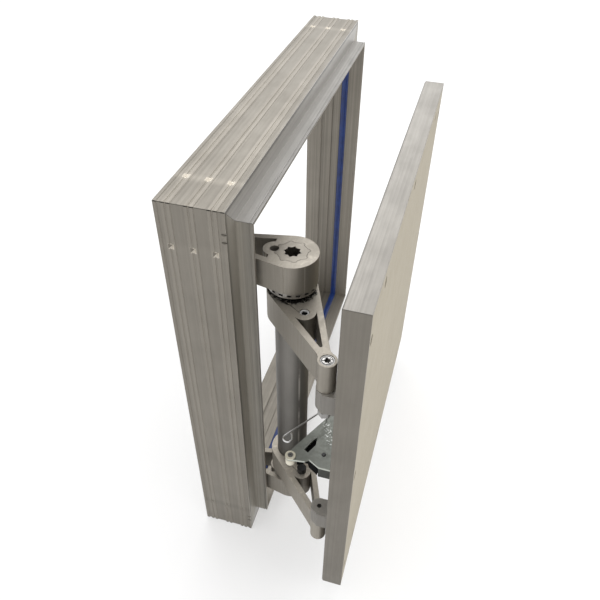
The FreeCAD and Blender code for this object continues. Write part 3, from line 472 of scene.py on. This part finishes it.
def lever_shade(lift, greasy_from=NO_FACE):
    """Tone of a piece sawn across its run along Z: cuts lighter, partly for their sawn finish and
    partly as painted light, grooves lightened as painted light, grease by the shaft.

    The gains of cuts and grooves were fitted to the light in the photograph.
    """
    def shade(tree, colour):
        axes = parts_of(tree, "Object")
        cut = band(tree, size_of(tree, parts_of(tree, "Normal")["Z"]), (0.85, 0.95))
        away = radius_about(tree, axes, SHAFT)
        level = size_of(tree, axes["Z"], MID_HEIGHT)
        greasy = both(tree, cut, band(tree, level, edge_at(greasy_from, 0.0005)))

        # The lift makes cut faces lighter: partly their sawn finish, partly painted light
        saw_lines = noise(tree, (700, 90, 90), detail=2.0, roughness=0.5)
        saw_marks_and_light = band(tree, saw_lines, MIDDLE, (1 + lift - SAW_SPREAD, 1 + lift + SAW_SPREAD))
        # Lighter patches on the cut faces
        patch_noise = noise(tree, even(160), detail=4.0, roughness=0.65, distortion=0.8)
        lighter_patches = band(tree, patch_noise, (0.56, 0.70), (1.0, 1.3))
        # Painted light lifts the grooves out of their shade
        groove = both(tree, band(tree, away, GROOVE_START), falling(tree, away, GROOVE_END),
                      falling(tree, cut, (0.0, 0.5)))

        # Grease round the shaft: mostly dark with a few painted wet glints, and near it thin films
        # that vary lighter and darker, partly as painted sheen
        fray = both(tree, noise(tree, even(130), detail=4.0, roughness=0.65), GREASE_FRAY)
        frayed = add_maths(tree, "SUBTRACT", away, fray)
        wet = both(tree, greasy, falling(tree, frayed, GREASE_RADIUS))
        near = both(tree, greasy, falling(tree, away, FILM_RADIUS))
        film_noise = noise(tree, even(260), detail=4.0, distortion=0.6)
        films_and_sheen = band(tree, film_noise, (0.45, 0.62), (0.7, 1.35))
        glints = band(tree, noise(tree, even(420), distortion=0.5), (0.54, 0.62), (0.06, 1.1))
        return toned(tree, colour, [(cut, saw_marks_and_light), (cut, lighter_patches), (groove, 2.5), (near, films_and_sheen),
                                    (wet, glints)])
    return shade


def outer_ring(tree, colour):
    """Tone of the clamp screws: near black but for the rings at the arms' outer faces."""
    level = size_of(tree, parts_of(tree, "Object")["Z"], MID_HEIGHT)
    return times(tree, colour, band(tree, level, (ARM_FACE - 0.0015, ARM_FACE - 0.0010), (0.02, 1.0)))


def turned_head(tree, colour):
    """Tone of the pivot screws: a dark ring round the socket and painted glints inside it."""
    away = radius_about(tree, parts_of(tree, "Object"), PIVOT)
    socket = falling(tree, away, edge_at(SOCKET_RADIUS))
    ring = both(tree, band(tree, away, edge_at(SOCKET_RADIUS)),
                falling(tree, away, (SOCKET_RING_RADIUS - SOFT, SOCKET_RING_RADIUS)))
    specks = noise(tree, (750, 750, 200), detail=2.0, roughness=0.5, distortion=0.6)
    glints = band(tree, specks, (0.42, 0.58), (0.15, 1.5))
    return toned(tree, colour, [(ring, 0.2), (socket, glints)])


def glinting(tree, colour):
    """Tone of the lock screws: darkened as painted shade, with a few bright spots painted as glints.
    """
    spots = noise(tree, even(330), detail=2.0, roughness=0.5, distortion=0.4)
    return times(tree, colour, band(tree, spots, (0.56, 0.64), (0.08, 1.4)))


def tube_shade(tree, colour):
    """Tone of the tube, all painted light: dull foot and left side, a broken highlight at right."""
    axes = parts_of(tree, "Object")
    across = add_maths(tree, "SUBTRACT", axes["X"], SHAFT[0])
    foot = band(tree, axes["Z"], TUBE_FOOT, (0.5, 1.0))
    left = band(tree, across, TUBE_LEFT, (0.78, 1.0))
    highlight = both(tree, band(tree, across, HIGHLIGHT_START),
                     falling(tree, across, HIGHLIGHT_END))
    broken = band(tree, noise(tree, even(60)), (0.4, 0.6), (1.2, 3.0))
    return times(tree, colour, both(tree, foot, left, factor_where(tree, highlight, broken)))


def dress(material, *names):
    """Puts a material on the nodes named."""
    for name in names:
        slots = nodes[name].data.materials
        slots.clear()
        slots.append(material)


def dress_frame():
    """Frame and seal. The same metal's tone differs by run, after the light in the photograph."""
    upright = profile_shade("Z", ridge=0.11, crimp=(2.0, 0.6), sheen_gains=(0.88, 1.04), streak=0.16,
                            recess=(1.75, 1.0), inside=1.12, neck_reflection_tint=(0.98, 1.0, 1.02, 1.0),
                            seam=True)
    level = profile_shade("Y", ridge=0.22, crimp=(2.4, 1.5), sheen_gains=(0.88, 1.2), streak=0.08,
                          recess=(2.0, 1.25), inside=0.92, neck_reflection_tint=(0.95, 1.0, 1.1, 1.0),
                          seam=False)
    dress(drawn_metal("profile_upright", 2, 0.212, shade=upright),
          "frame_profile_near", "frame_profile_far")
    dress(drawn_metal("profile_level", 1, 0.225, shade=level),
          "frame_profile_bottom", "frame_profile_top")
    dress(moulded("seal", *SEAL_BLUE, 0.35), "frame_seal")


def dress_door():
    """Door edges and board. The edges' tone differs by run, after the light in the photograph."""
    dress(drawn_metal("door_edge_upright", 2, 0.185),
          "door_profile_near", "door_profile_far", "door_hinge_rail")
    dress(drawn_metal("door_edge_level", 1, 0.305, warmth=0.05),
          "door_profile_bottom", "door_profile_top")
    dress(board_face("board"), "door_board")


def dress_linkage():
    # One aluminium throughout: the differing tones and lifts of links, arms and brackets are painted
    # light, the lower arm lighter than the upper
    dress(drawn_metal("link", 2, 0.25, rough=SAWN_ROUGH, shade=lever_shade(0.35)),
          "frame_link_upper", "frame_link_lower")
    dress(drawn_metal("arm", 2, 0.27, rough=SAWN_ROUGH, shade=lever_shade(0.35, ARM_FACE)),
          "door_arm_upper")
    dress(drawn_metal("arm_low", 2, 0.305, rough=SAWN_ROUGH, shade=lever_shade(0.6)),
          "door_arm_lower")
    dress(drawn_metal("bracket", 2, 0.225, warmth=0.055, rough=SAWN_ROUGH, shade=lever_shade(0.9)),
          "frame_bracket_upper", "frame_bracket_lower", "door_bracket_upper", "door_bracket_lower")
    dress(drawn_metal("tube", 2, 0.215, warmth=0.05, rough=(0.48, 0.62), metallic=0.65,
                      shade=tube_shade), "shaft_tube")
    dress(machined_metal("cage", 0.20, 0.36, 0.05), "thrust_cage_upper", "thrust_cage_lower")
    # The races are near black: grease, and painted shade under the cage
    dress(machined_metal("race", 0.004, 0.03, 0.05, grain=300, rough=(0.1, 0.35)), "thrust_races")


def dress_fastenings():
    dress(machined_metal("cleat", 0.18, 0.27), "frame_corner_cleats", "door_corner_cleats")
    dress(machined_metal("insert", 0.18, 0.26),
          "index_insert_upper", "index_insert_lower", "pivot_bush")
    dress(machined_metal("fastener", 0.14, 0.26, 0.03),
          "frame_bracket_screws", "link_pins", "torsion_bar", "board_screws")
    dress(machined_metal("rivet", 0.04, 0.08, 0.0), "guide_rivet")
    dress(machined_metal("lock_screw", 0.45, 0.75, 0.0, shade=glinting), "insert_lock_screws")
    dress(machined_metal("clamp_screw", 0.55, 0.85, 0.0, metallic=0.35, shade=outer_ring),
          "arm_clamp_screws")
    dress(machined_metal("bright_screw", 0.14, 0.42, 0.02, grain=420, rough=(0.12, 0.3),
                         shade=turned_head),
          "pivot_screw_upper", "pivot_screw_lower", "pivot_nut", "roller_pin")


def dress_guide():
    dress(zinc_spangle("zinc"), "guide_plate")
    dress(moulded("black", *BLACK, 0.75, specular=0.06), "guide_block")
    dress(moulded("ivory", *IVORY, 0.4), "guide_roller", "roller_washer")
    dress(machined_metal("wire", 0.7, 0.85, 0.0), "guide_wire")


def make_floor():
    half = FLOOR_HALF
    mesh = bpy.data.meshes.new("floor")
    corners = [(-half, -half, 0), (half, -half, 0), (half, half, 0), (-half, half, 0)]
    mesh.from_pydata(corners, [], [(0, 1, 2, 3)])
    floor = bpy.data.objects.new("floor", mesh)
    floor.location.z = FLOOR_Z
    bpy.context.scene.collection.objects.link(floor)
    made = new_material("floor_matt", Roughness=0.9, Base_Color=FLOOR_GREY,
                        Emission_Color=WHITE, Emission_Strength=FLOOR_GLOW)
    mesh.materials.append(made[0])


def make_world():
    world = bpy.data.worlds.new("studio")
    world.use_nodes = True
    background = world.node_tree.nodes["Background"]
    background.inputs["Color"].default_value = WHITE
    background.inputs["Strength"].default_value = 1.0
    bpy.context.scene.world = world


def area_light(name, place, size, power):
    """A soft light that points at the part."""
    data = bpy.data.lights.new(name, "AREA")
    data.shape = "RECTANGLE"
    data.size, data.size_y = size
    data.energy = power
    light = bpy.data.objects.new(name, data)
    light.location = place
    light.rotation_euler = (Vector(LIT_PLACE) - Vector(place)).to_track_quat("-Z", "Y").to_euler()
    bpy.context.scene.collection.objects.link(light)


def make_lights():
    area_light("far_softbox", (-0.35, 1.3, 1.5), (1.7, 1.2), 10.5)
    area_light("right_fill", (1.5, -0.2, 0.9), (1.0, 1.0), 5)
    bpy.context.scene.view_settings.view_transform = "Standard"


make_camera()
dress_frame()
dress_door()
dress_linkage()
dress_fastenings()
dress_guide()
make_floor()
make_world()
make_lights()

bpy.context.view_layer.update()
